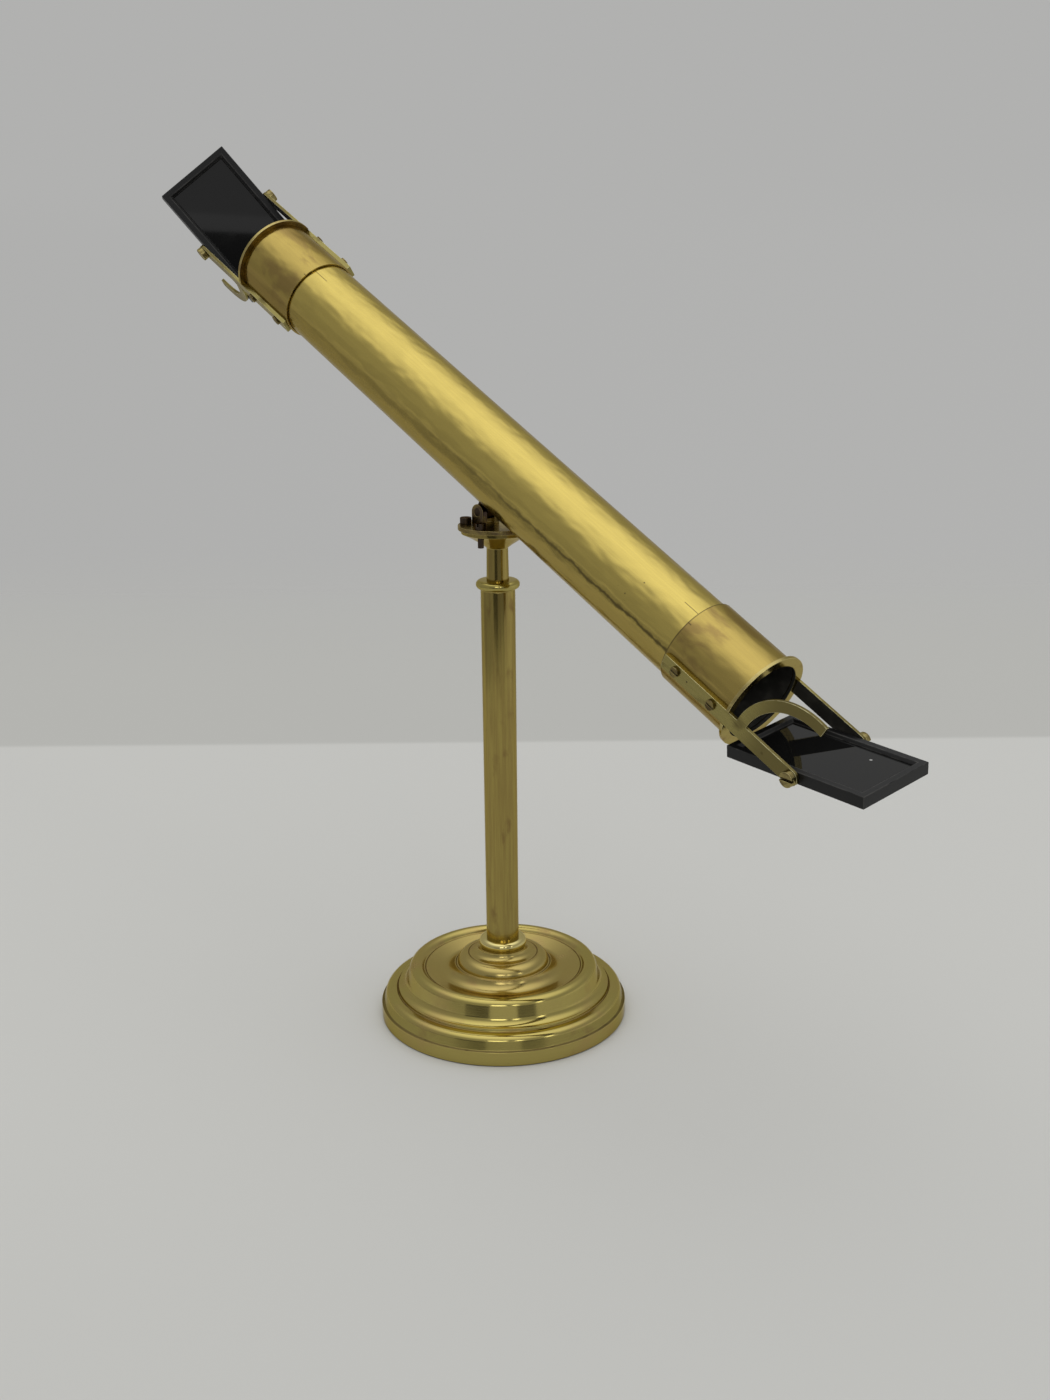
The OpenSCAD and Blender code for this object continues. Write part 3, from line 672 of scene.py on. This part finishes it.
# %% Ring, column and bead
ring_h, column_len, bead_h = 5.2, 184.1, 4.4
column_z = foot_h + ring_h
bead_z = column_z + column_len
neck_z = bead_z + bead_h
ring = turn_outline((5.05, foot_h), [(10.9, foot_h), (10.9, foot_h + 0.348), (9.6, foot_h + 2.6, 150),
                                     (5.05, column_z), (5.05, foot_h)], 0.1, 96)
hand_over("column_ring_turned", ring, upright, "stand", ["column_ring"], [ring_bright])
column = turn_outline((0, column_z), [(8.3, column_z), (8.499, bead_z - 0.7), (8.36, bead_z - 0.5),
                                      (8.5, bead_z - 0.3), (8.5, bead_z), (0, bead_z)], 0.08, 96)
hand_over("column_turned", column, upright, "stand", ["column"], [satin])
bead = turn_outline((4.05, bead_z), [(8.6, bead_z), (8.982, bead_z + 0.0334), (8.6, bead_z + bead_h / 2, 160),
                                     (6.1, neck_z), (4.05, neck_z), (4.05, bead_z)], 0.02, 96)
hand_over("column_bead_turned", bead, upright, "stand", ["column_bead"], [bead_brass])

# %% [markdown]
# The trumpet's curve lies between a cone and a quarter of an ellipse. Raising the share of the way to a
# power gives every curve between the two, and a dozen short runs are enough to look smooth.

# %% Neck with its trumpet lip
flare_power, neck_len, flare_h, lip_h = 1.1, 15.8, 7.4, 1.8
neck_r, lip_r = 5.25, 17.5
flare = []
for step in range(13):
    share = step / 12
    climb_share = (1 - (1 - share) ** flare_power) ** (1 / flare_power)
    flare.append((neck_r + share * (lip_r - neck_r), neck_z + neck_len + climb_share * flare_h))
plate_z = neck_z + neck_len + flare_h + lip_h
neck = turn_outline((0, neck_z), [(5.5, neck_z)] + flare + [(lip_r, plate_z), (0, plate_z)], 0.15, 96)
hand_over("head_turned", neck, upright, "stand", ["head"], [satin])

# %% [markdown]
# ## The tube and its collars
# The tube was drawn, so its grain runs along it. It was lacquered. Its underside and the far side of its top
# are painted browner as painted shade, for the sides turned from the light, and its collars take the same
# painted shade. A dark line is painted on the tube where it enters each collar, and on the lower collar's
# inner edge, as painted shade at the joint. A dark, wandering line runs along its side. Inside, the brass was
# blackened to stop stray light. A fine index line is scribed beside each collar, and a tick on the collar's
# edge reads against it.

# %% Finishes of the tube
def tube_marks_and_shade(tree, lie):
    upper = use(tree, scribed, Lie=lie, Angle=28.3, From=-144.9, To=-134.1, Width=0.22)
    lower = use(tree, scribed, Lie=lie, Angle=28.3, From=135.8, To=144.9, Width=0.22)
    parts = split(tree, lie)
    along = maths(tree, "ABSOLUTE", parts[0])
    # Painted shade: a dark line on the tube just where it enters each collar, for the shade at the joint.
    painted_gap_shade = times(tree, ease(tree, along, 144.2, 144.7), maths(tree, "LESS_THAN", along, 146))
    mask = maths(tree, "MAXIMUM", maths(tree, "MAXIMUM", upper, lower), painted_gap_shade)
    # A dark, wandering line along the side of the tube, fading out towards the upper end.
    wander = add(tree, "TexNoise", Vector=scaled(tree, lie, (0.07, 0, 0)), Scale=1.0, Detail=3.0)
    swell = add(tree, "TexNoise", Vector=scaled(tree, lie, (0.2, 0, 0)), Scale=1.0, Detail=2.0)
    dark_line_at = maths(tree, "MULTIPLY_ADD", wander.outputs["Fac"], 5.0, -2.6)
    off_dark_line = maths(tree, "ABSOLUTE", maths(tree, "SUBTRACT", parts[2], dark_line_at))
    half = maths(tree, "MULTIPLY_ADD", swell.outputs["Fac"], 5.0, -1.3)
    dark_line = times(tree, ease(tree, off_dark_line, half, 0.1), maths(tree, "LESS_THAN", parts[1], 0))
    dark_line = times(tree, dark_line, times(tree, ease(tree, parts[0], -90, 125), 0.85))
    mask = maths(tree, "MAXIMUM", mask, dark_line)
    for spot in ((112.3, -19.0, 6.5), (116.0, -14.2, 14.2)):
        mask = maths(tree, "MAXIMUM", mask, use(tree, punched, Lie=lie, Place=spot, Radius=0.4))
    return mask


def collar_marks_and_shade(tree, lie):
    upper = use(tree, scribed, Lie=lie, Angle=43.9, From=-146.2, To=-144.0, Width=0.25)
    lower = use(tree, scribed, Lie=lie, Angle=45.7, From=144.0, To=147.0, Width=0.25)
    along = split(tree, lie)[0]
    # Painted shade: a dark band on the lower collar's inner edge, where it meets the tube.
    edge = times(tree, maths(tree, "GREATER_THAN", along, 0), ease(tree, along, 145.6, 145.2))
    return maths(tree, "MAXIMUM", maths(tree, "MAXIMUM", upper, lower), times(tree, edge, 0.8))


def painted_tube_shade(tree, lie):
    """Painted shade: the underside and the far side of the top are painted browner, as they turn from the
    light.
    """
    parts = split(tree, lie)
    under = times(tree, ease(tree, parts[2], 6, -6), 0.85)
    far_top = times(tree, ease(tree, parts[1], 2, 10), 0.8)
    return maths(tree, "MAXIMUM", under, far_top)


tube_brass = brass("drawn_tube_brass", colour(0.53, 0.415, 0.110), colour(0.35, 0.260, 0.068),
                   colour(0.66, 0.54, 0.18), "drawn", 1.2, 0.18, 0.42, 13, 0.05, coat=0.2, soft=0.45,
                   dents=0.0006, marks_and_shade=tube_marks_and_shade, stains_and_shade=painted_tube_shade)
collar_brass = brass("collar_brass", colour(0.41, 0.308, 0.084), colour(0.29, 0.202, 0.064),
                     colour(0.55, 0.45, 0.17), "drawn", 1.2, 0.16, 0.52, 13, 0.05, soft=0.14,
                     dents=0.0004, marks_and_shade=collar_marks_and_shade, stains_and_shade=painted_tube_shade)


def blackened_finish():
    made, tree, lie = new_material("blackened_brass")
    patches = use(tree, tarnish, Lie=lie, Size=6.0, Cover=0.6, Softness=0.3)
    tone = blend(tree, patches, (0.026, 0.025, 0.021, 1), (0.055, 0.052, 0.043, 1))
    gloss = maths(tree, "MULTIPLY_ADD", patches, 0.15, 0.42)
    close(tree, add(tree, "BsdfPrincipled", Base_Color=tone, Roughness=gloss))
    return made


blackened = blackened_finish()
print("finishes:", tube_brass.name, collar_brass.name, blackened.name)

# %% [markdown]
# A tube is a ring-shaped outline spun once. The helper turns about the upright, and the tube's own axis is
# X, so the shape is tipped over before it is laid. Faces that look inwards take the blackened finish.

# %% Tube and sleeves
def pipe(outer, inner, start, end, round_by):
    moves = [(outer, start), (outer, end), (inner, end), (inner, start)]
    bm = turn_outline((inner, start), moves, round_by, 128)
    for face in bm.faces:
        spot = face.calc_center_median()
        if spot.xy.length < (outer + inner) / 2 and face.normal.xy.dot(spot.xy) < 0:
            face.material_index = 1
    bmesh.ops.transform(bm, matrix=spun(90, "Y"), verts=bm.verts)
    return bm


tube_r, tube_bore_r, tube_half = 20.1, 19.1, 184.35
sleeve_r, sleeve_bore_r, sleeve_from, sleeve_to = 21.25, 20.16, 144.9, 184.7
tube = pipe(tube_r, tube_bore_r, -tube_half, tube_half, 0.1)
hand_over("main_tube_drawn", tube, on_tube, "tube", ["main_tube"], [tube_brass, blackened])
for end, (start, stop) in {"upper": (-sleeve_to, -sleeve_from), "lower": (sleeve_from, sleeve_to)}.items():
    sleeve = pipe(sleeve_r, sleeve_bore_r, start, stop, 0.15)
    hand_over(f"{end}_sleeve_rolled", sleeve, on_tube, f"{end}_collar", [f"{end}_sleeve"],
              [collar_brass, blackened])

# %% [markdown]
# ## Pieces that keep the solid model's shape
# Flanges, arms, screws and the joint are flat work, filed to shape. Their solids are right, so a copy of
# each is enough. A solid's mesh is loose triangles, so the copy is brought into the piece's own axes, its
# doubles are merged and flat faces are joined. Then its edges are rounded like the rest.

# %% Copying a solid
def filed_copy(node, place, round_by):
    bm = bmesh.new()
    bm.from_mesh(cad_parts[node].data)
    bmesh.ops.transform(bm, matrix=Matrix.Scale(1 / mm, 4) @ place.inverted(), verts=bm.verts)
    bmesh.ops.remove_doubles(bm, verts=bm.verts, dist=0.001)
    bmesh.ops.dissolve_limit(bm, angle_limit=math.radians(1), verts=bm.verts, edges=bm.edges)
    for face in bm.faces:
        face.material_index = 0
    round_edges(bm, round_by)
    return bm


print("copy helper ready")

# %% [markdown]
# ## Flanges and arms
# The flanges were turned and polished. The arms are strips of sheet brass with a paler filed finish, and
# their inner faces were blackened with the bores. A small dot is punched in the lower arc arm over its
# collar, and a faint round mark shows further out.

# %% Flanges and arms
flange_brass = brass("flange_brass", colour(0.42, 0.345, 0.13), colour(0.28, 0.195, 0.085),
                     colour(0.68, 0.59, 0.27), "drawn", 1.5, 0.14, 0.48, 9, 0.03)


def arm_dots(tree, lie):
    inner = use(tree, punched, Lie=lie, Place=(-24.6, -23.1, 0.2), Radius=0.55)
    outer = use(tree, punched, Lie=lie, Place=(21.8, -23.1, -0.4), Radius=0.9)
    return maths(tree, "MAXIMUM", inner, times(tree, outer, 0.45))


def arm_stains(tree, lie):
    """Browner along the arms past the flange, where the mirrors are set."""
    along = split(tree, lie)[0]
    return times(tree, ease(tree, along, 2, 22), 0.9)


arm_colours = (colour(0.305, 0.262, 0.090), colour(0.150, 0.122, 0.043), colour(0.70, 0.65, 0.37))
arm_brass = brass("filed_arm_brass", *arm_colours, "drawn", 1.6, 0.26, 0.46, 6, 0.10, rub=0.85,
                  stains_and_shade=arm_stains)
dotted_arm_brass = brass("dotted_arm_brass", *arm_colours, "drawn", 1.6, 0.26, 0.46, 6, 0.10, rub=0.85,
                         marks_and_shade=arm_dots, stains_and_shade=arm_stains)
flange_bore_r = 19.4
for end in ("upper", "lower"):
    body = f"{end}_collar"
    flange = filed_copy(f"{end}_flange", on_end[end], 0.2)
    for face in flange.faces:
        spot = face.calc_center_median()
        if math.hypot(spot.y, spot.z) < flange_bore_r and abs(face.normal.x) < 0.5:
            face.material_index = 1
        # Painted shade: the back face of each flange, turned from the light, takes the dark old polish
        # finish.
        elif face.normal.x < -0.7:
            face.material_index = 2
    hand_over(f"{end}_flange_turned", flange, on_end[end], body, [f"{end}_flange"],
              [flange_brass, blackened, old_polish_and_shade])
    for kind, inward in (("arc_arm", 1), ("plain_arm", -1)):
        arm = filed_copy(f"{end}_{kind}", on_end[end], 0.16)
        for face in arm.faces:
            if face.normal.y * inward > 0.7:
                face.material_index = 1
        front = dotted_arm_brass if (end, kind) == ("lower", "arc_arm") else arm_brass
        hand_over(f"{end}_{kind}_filed", arm, on_end[end], body, [f"{end}_{kind}"],
                  [front, blackened])

# %% [markdown]
# ## Screws
# The slotted screws have gone dark, and their slots hold dirt. The pivot screws are larger and keep a
# little more of their brass. A face that looks out along the screw from below the top of its head is the
# floor of the slot, so it gets the dirty finish, and so do the flat walls beside it.

# %% Screws
screw_brass = brass("dark_screw_brass", colour(0.24, 0.185, 0.07), colour(0.09, 0.065, 0.03),
                    colour(0.48, 0.40, 0.17), "drawn", 3.0, 0.30, 0.62, 3, 0.1)
pivot_brass = brass("pivot_screw_brass", colour(0.34, 0.28, 0.11), colour(0.14, 0.105, 0.045),
                    colour(0.60, 0.52, 0.24), "drawn", 3.0, 0.26, 0.56, 4, 0.1)
slot_dirt = brass("slot_dirt", colour(0.035, 0.026, 0.014), colour(0.018, 0.013, 0.008),
                  colour(0.10, 0.08, 0.04), "drawn", 3.0, 0.6, 0.5, 2, 0.1, coat=0)


def dirty_slots(bm, axis, head_r, slot_depth):
    """Marks the slots of all the screws in a shape whose heads face out along one axis, to either side."""
    dirty = 0
    top = {side: max(vert.co[axis] * side for vert in bm.verts) for side in (1, -1)}
    for face in bm.faces:
        spot = face.calc_center_median()
        side = 1 if spot[axis] > 0 else -1
        below = top[side] - spot[axis] * side
        bottom = face.normal[axis] * side > 0.9 and 0.3 * slot_depth < below < 1.2 * slot_depth
        upright_face = abs(face.normal[axis]) < 0.2 and 0.2 * slot_depth < below < 0.8 * slot_depth
        long_face = max((vert.co - spot).length for vert in face.verts) > 0.75 * head_r
        if bottom or (upright_face and long_face):
            face.material_index = 1
            dirty += 1
    return dirty


arm_head_r, arm_slot, pivot_head_r, pivot_slot = 2.4, 0.54, 3.5, 1.17
for end in ("upper", "lower"):
    screws = filed_copy(f"{end}_arm_screws", on_end[end], 0.12)
    print("faces in the arm screws' slots:", dirty_slots(screws, 1, arm_head_r, arm_slot))
    hand_over(f"{end}_arm_screws_slotted", screws, on_end[end], f"{end}_collar",
              [f"{end}_arm_screws"], [screw_brass, slot_dirt])
    screws = filed_copy(f"{end}_pivot_screws", on_mirror[end], 0.2)
    print("faces in the pivot screws' slots:", dirty_slots(screws, 1, pivot_head_r, pivot_slot))
    hand_over(f"{end}_pivot_screws_slotted", screws, on_mirror[end], f"{end}_mirror",
              [f"{end}_pivot_screws"], [pivot_brass, slot_dirt])

# %% [markdown]
# ## The tilt joint
# A round plate sits on the trumpet lip with two cheeks on it. A dark steel leaf turns between them on a
# pin, and a hollowed saddle joins the leaf to the tube. The plate lies in shade under the tube, so its
# brass is painted in dark purple brown patches as painted shade, while the cheeks still catch the light.

# %% Tilt joint
# Painted shade: the dark purple brown patches stand for the shade under the tube.
plate_shade_brass = brass("painted_shade_plate", colour(0.34, 0.26, 0.09), colour(0.095, 0.062, 0.048),
                    colour(0.50, 0.40, 0.16), "drawn", 1.6, 0.26, 0.66, 9, 0.10)


def steel_finish():
    made, tree, lie = new_material("dark_steel")
    patches = use(tree, tarnish, Lie=lie, Size=3.0, Cover=0.5, Softness=0.3)
    rubbed = use(tree, worn_edges, Lie=lie, Size=3.0)
    tone = blend(tree, patches, (0.070, 0.052, 0.038, 1), (0.036, 0.023, 0.015, 1))
    tone = blend(tree, times(tree, rubbed, 0.4), tone, (0.19, 0.155, 0.115, 1))
    gloss = maths(tree, "MULTIPLY_ADD", patches, 0.2, 0.34)
    close(tree, add(tree, "BsdfPrincipled", Base_Color=tone, Metallic=1.0, Roughness=gloss,
                     Specular_Tint=(0.45, 0.36, 0.28, 1)))
    return made


steel = steel_finish()
for node, place, body, slot, finish, round_by in (
    ("joint_plate", upright, "stand", "turned_brass", plate_shade_brass, 0.2),
    ("plate_screws", upright, "stand", "dark_steel", steel, 0.15),
    ("tilt_pin", upright, "stand", "dark_steel", steel, 0.2),
    ("tongue", on_tube, "tube", "dark_steel", steel, 0.15),
    ("saddle", on_tube, "tube", "tube_brass", collar_brass, 0.15),
):
    hand_over(f"{node}_fitted", filed_copy(node, place, round_by), place, body, [node], [finish])

# %% [markdown]
# ## The mirrors
# Each mirror is a plate of black glass let into a black tray. Black glass reflects only from its front, so
# the light that it throws is polarised. The tray starts as a box: its front is inset by the width of the
# rails, and the inset face is pushed down to make the bed for the glass. The inner edge of the rails is
# chamfered. The lower glass has a small chip, which shows white.

# %% Finishes of the mirrors
def lacquer_finish():
    made, tree, lie = new_material("black_lacquer")
    lines = use(tree, drawn_lines, Lie=lie, Fineness=1.4)
    dust = use(tree, tarnish, Lie=lie, Size=9.0, Cover=0.35, Softness=0.4)
    rubbed = use(tree, worn_edges, Lie=lie, Size=7.0)
    tone = blend(tree, dust, (0.007, 0.007, 0.0073, 1), (0.014, 0.0136, 0.013, 1))
    tone = blend(tree, times(tree, rubbed, 0.75), tone, (0.060, 0.058, 0.055, 1))
    gloss = maths(tree, "MULTIPLY_ADD", lines, 0.16, 0.30)
    bump = add(tree, "Bump", Strength=0.12, Distance=0.00004, Height=lines)
    close(tree, add(tree, "BsdfPrincipled", Base_Color=tone, Roughness=gloss, Normal=bump.outputs[0],
                     Specular_IOR_Level=0.26))
    return made


def glass_finish(name, chip=None):
    made, tree, lie = new_material(name)
    smear = use(tree, tarnish, Lie=lie, Size=16.0, Cover=0.5, Softness=0.5)
    dust = use(tree, specks, Lie=lie, Spacing=4.5, Size=0.16)
    tone = blend(tree, times(tree, dust, 0.35), colour(0.0065, 0.0065, 0.0065), colour(0.12, 0.12, 0.115))
    if chip:
        hit = use(tree, punched, Lie=lie, Place=chip, Radius=0.8)
        tone = blend(tree, hit, tone, colour(0.42, 0.42, 0.41))
    gloss = maths(tree, "MULTIPLY_ADD", smear, 0.06, 0.03)
    close(tree, add(tree, "BsdfPrincipled", Base_Color=tone, Roughness=gloss, IOR=1.52,
                    Specular_IOR_Level=0.235))
    return made


lacquer = lacquer_finish()
panes = {"upper": glass_finish("black_glass"), "lower": glass_finish("chipped_black_glass", (15.6, 9.8, 1.2))}
print("finishes:", lacquer.name, [pane.name for pane in panes.values()])

# %% Trays and glasses
tray_l, tray_w, tray_h = 72, 42.4, 5.6
rail, bed_depth, rim_chamfer = 4.4, 3.6, 1.3
pane_l, pane_w, pane_h, pane_level = 63.1, 33.5, 2, 0.2


def box_shape(long, wide, thick, level=0):
    bm = bmesh.new()
    stretch_to = Matrix.Translation((0, 0, level)) @ Matrix.Diagonal((long, wide, thick, 1))
    bmesh.ops.create_cube(bm, size=1, matrix=stretch_to)
    return bm


def tray_shape():
    bm = box_shape(tray_l, tray_w, tray_h)
    front = max(bm.faces, key=lambda face: face.calc_center_median().z)
    bmesh.ops.inset_individual(bm, faces=[front], thickness=rail, use_even_offset=True)
    bed = bmesh.ops.extrude_face_region(bm, geom=[front])
    sunk = [part for part in bed["geom"] if isinstance(part, bmesh.types.BMVert)]
    bmesh.ops.translate(bm, verts=sunk, vec=(0, 0, -bed_depth))
    if front.is_valid:
        bmesh.ops.delete(bm, geom=[front], context="FACES_ONLY")
    bmesh.ops.recalc_face_normals(bm, faces=bm.faces)
    inside = (tray_l - rail) / 2, (tray_w - rail) / 2
    top = [v for v in bm.verts if v.co.z > tray_h / 2 - 0.1]
    inner = {v for v in top if abs(v.co.x) < inside[0] and abs(v.co.y) < inside[1]}
    rim = [e for e in bm.edges if inner.issuperset(e.verts)]
    bmesh.ops.bevel(bm, geom=rim, offset=rim_chamfer, offset_type="OFFSET", affect="EDGES", segments=1,
                    profile=0.5, material=-1, clamp_overlap=False, loop_slide=True)
    return bm


for end in ("upper", "lower"):
    tray = tray_shape()
    round_edges(tray, 0.3)
    hand_over(f"{end}_frame_tray", tray, on_mirror[end], f"{end}_mirror", [f"{end}_frame"],
              [lacquer])
    pane = box_shape(pane_l, pane_w, pane_h, pane_level)
    round_edges(pane, 0.25)
    hand_over(f"{end}_glass_pane", pane, on_mirror[end], f"{end}_mirror", [f"{end}_glass"],
              [panes[end]])

# %% [markdown]
# The last line brings the placements of all the pieces up to date.

# %% Finish
bpy.context.view_layer.update()
